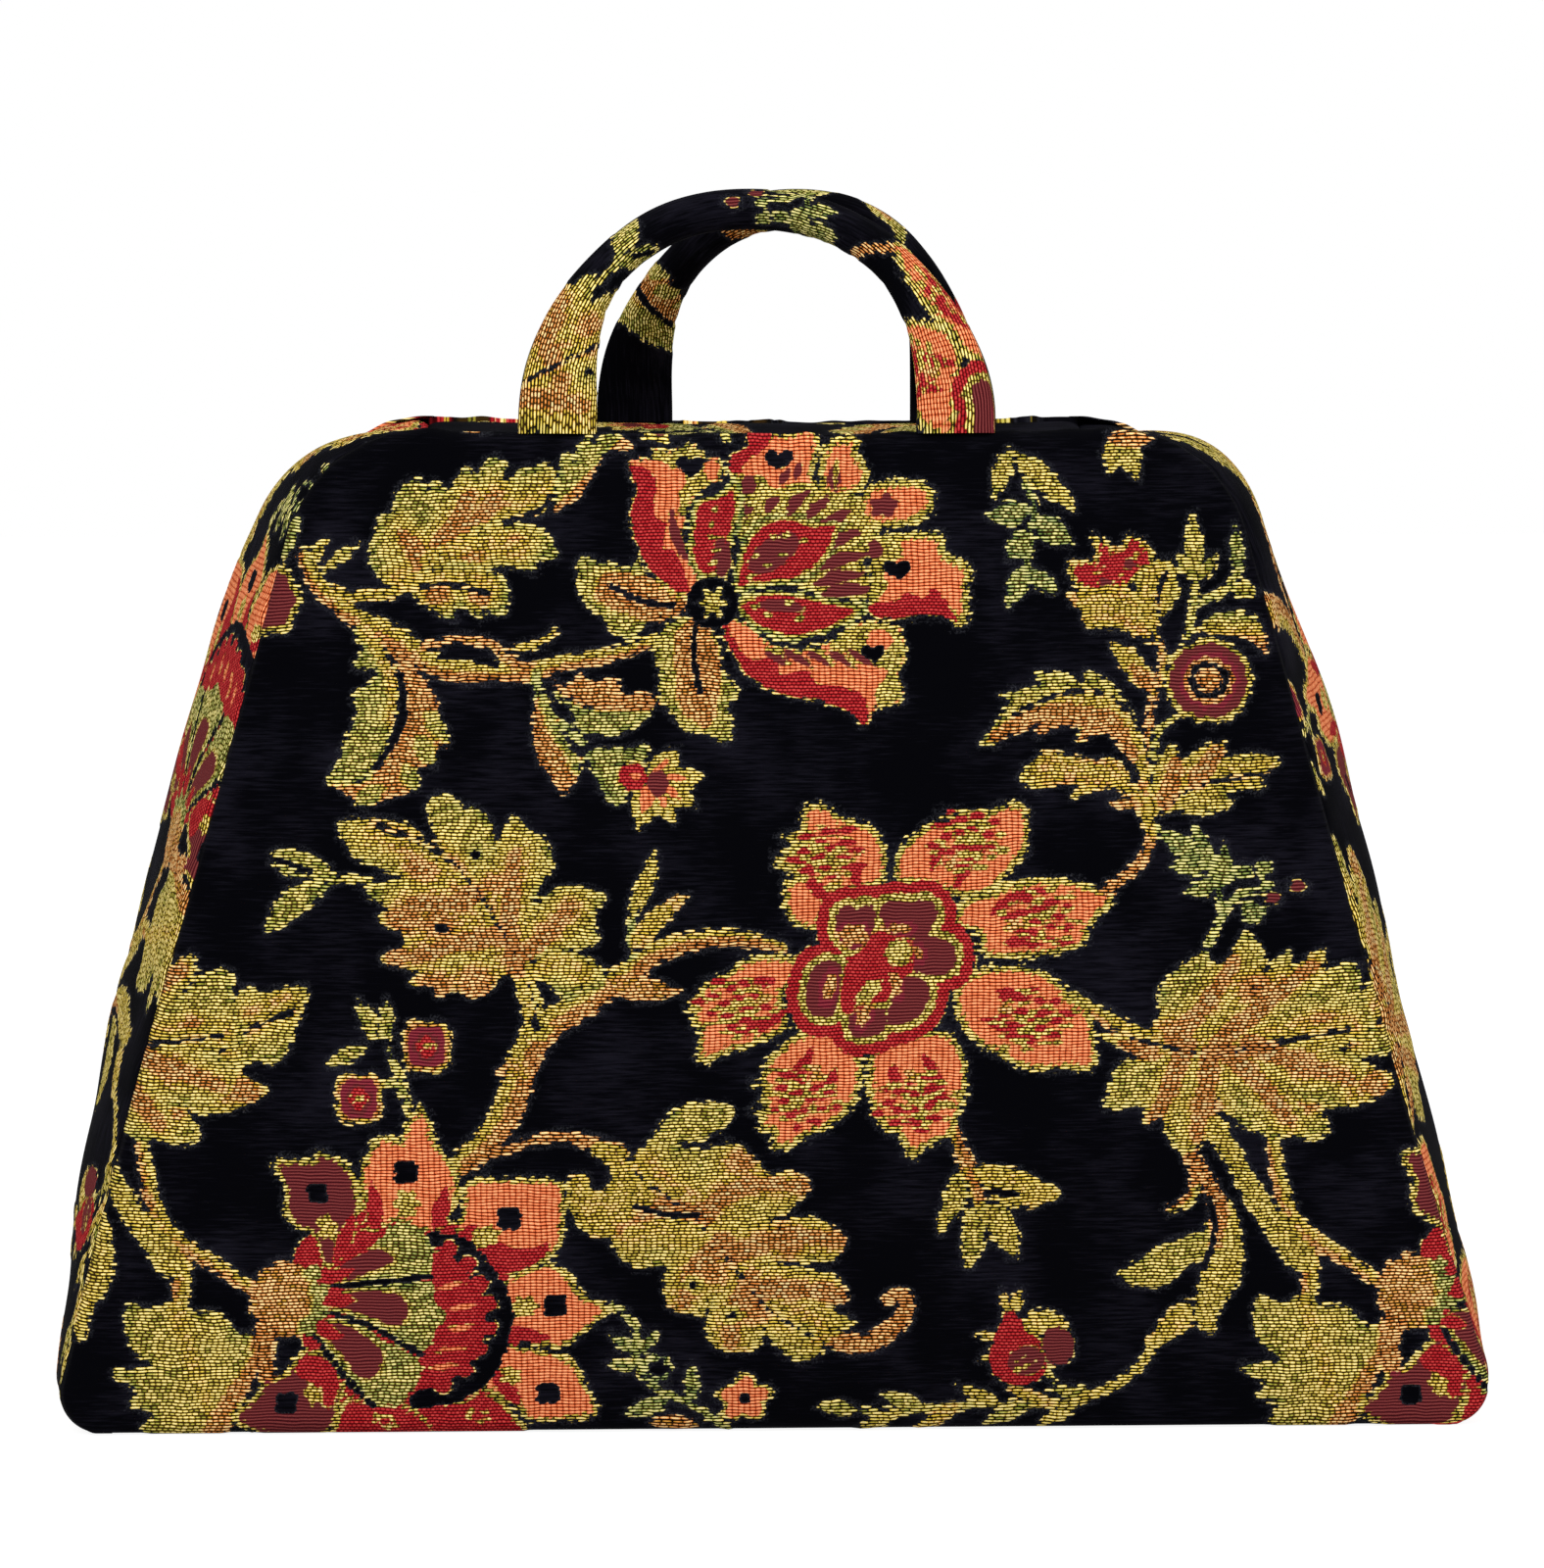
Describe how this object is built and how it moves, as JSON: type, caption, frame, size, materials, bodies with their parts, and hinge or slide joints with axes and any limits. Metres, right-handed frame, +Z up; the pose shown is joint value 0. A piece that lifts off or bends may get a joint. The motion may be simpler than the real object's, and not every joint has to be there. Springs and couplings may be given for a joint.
{
  "type": "carpet bag",
  "caption": "Soft carpet bag of dark floral tapestry cloth: trapezoid front and back, swelling side strips, a zipped top and rolled cloth handles, for carrying by hand.",
  "frame": {"origin": "middle of the bag's footprint, on the floor plane", "axes": "+Z up, +X to the right seen from the front, the front panel faces -Y"},
  "size_m": [0.4742, 0.1928, 0.4042],
  "materials": {
    "tapestry_cloth": "woven chenille tapestry, black ground with a floral pattern in gold, coral, red and burgundy",
    "lining_cloth": "plain woven cotton lining",
    "base_board": "matt stiff board",
    "zip_tape": "black woven zip tape",
    "zip_metal": "antique brass",
    "cord_filling": "soft cotton cord"
  },
  "bodies": {
    "bag": {"base_panel": "tapestry_cloth", "base_board": "base_board", "front_panel": "tapestry_cloth", "back_panel": "tapestry_cloth", "side_gusset_left": "tapestry_cloth", "side_gusset_right": "tapestry_cloth", "top_gusset_front": "tapestry_cloth", "top_gusset_rear": "tapestry_cloth", "zip_tape_front": "zip_tape", "zip_tape_rear": "zip_tape", "zip_teeth_front": "zip_metal", "zip_teeth_rear": "zip_metal", "zip_top_stops": "zip_metal", "zip_bottom_stop": "zip_metal", "lining": "lining_cloth", "handle_cover_front": "tapestry_cloth", "handle_cover_rear": "tapestry_cloth", "handle_core_front": "cord_filling", "handle_core_rear": "cord_filling"},
    "slider": {"zip_slider": "zip_metal"},
    "pull": {"zip_pull": "zip_metal"}
  },
  "joints": [
    {"name": "zip_slide", "type": "slide", "parent": "bag", "child": "slider", "axis": [-1, 0, 0], "range_m": [0, 0.1938], "deforming": ["zip_teeth_front", "zip_teeth_rear"]},
    {"name": "pull_hinge", "type": "hinge", "parent": "slider", "child": "pull", "pos_m": [0.09753, 0, 0.3192], "axis": [0, 1, 0], "range_deg": [0, 150]}
  ]
}
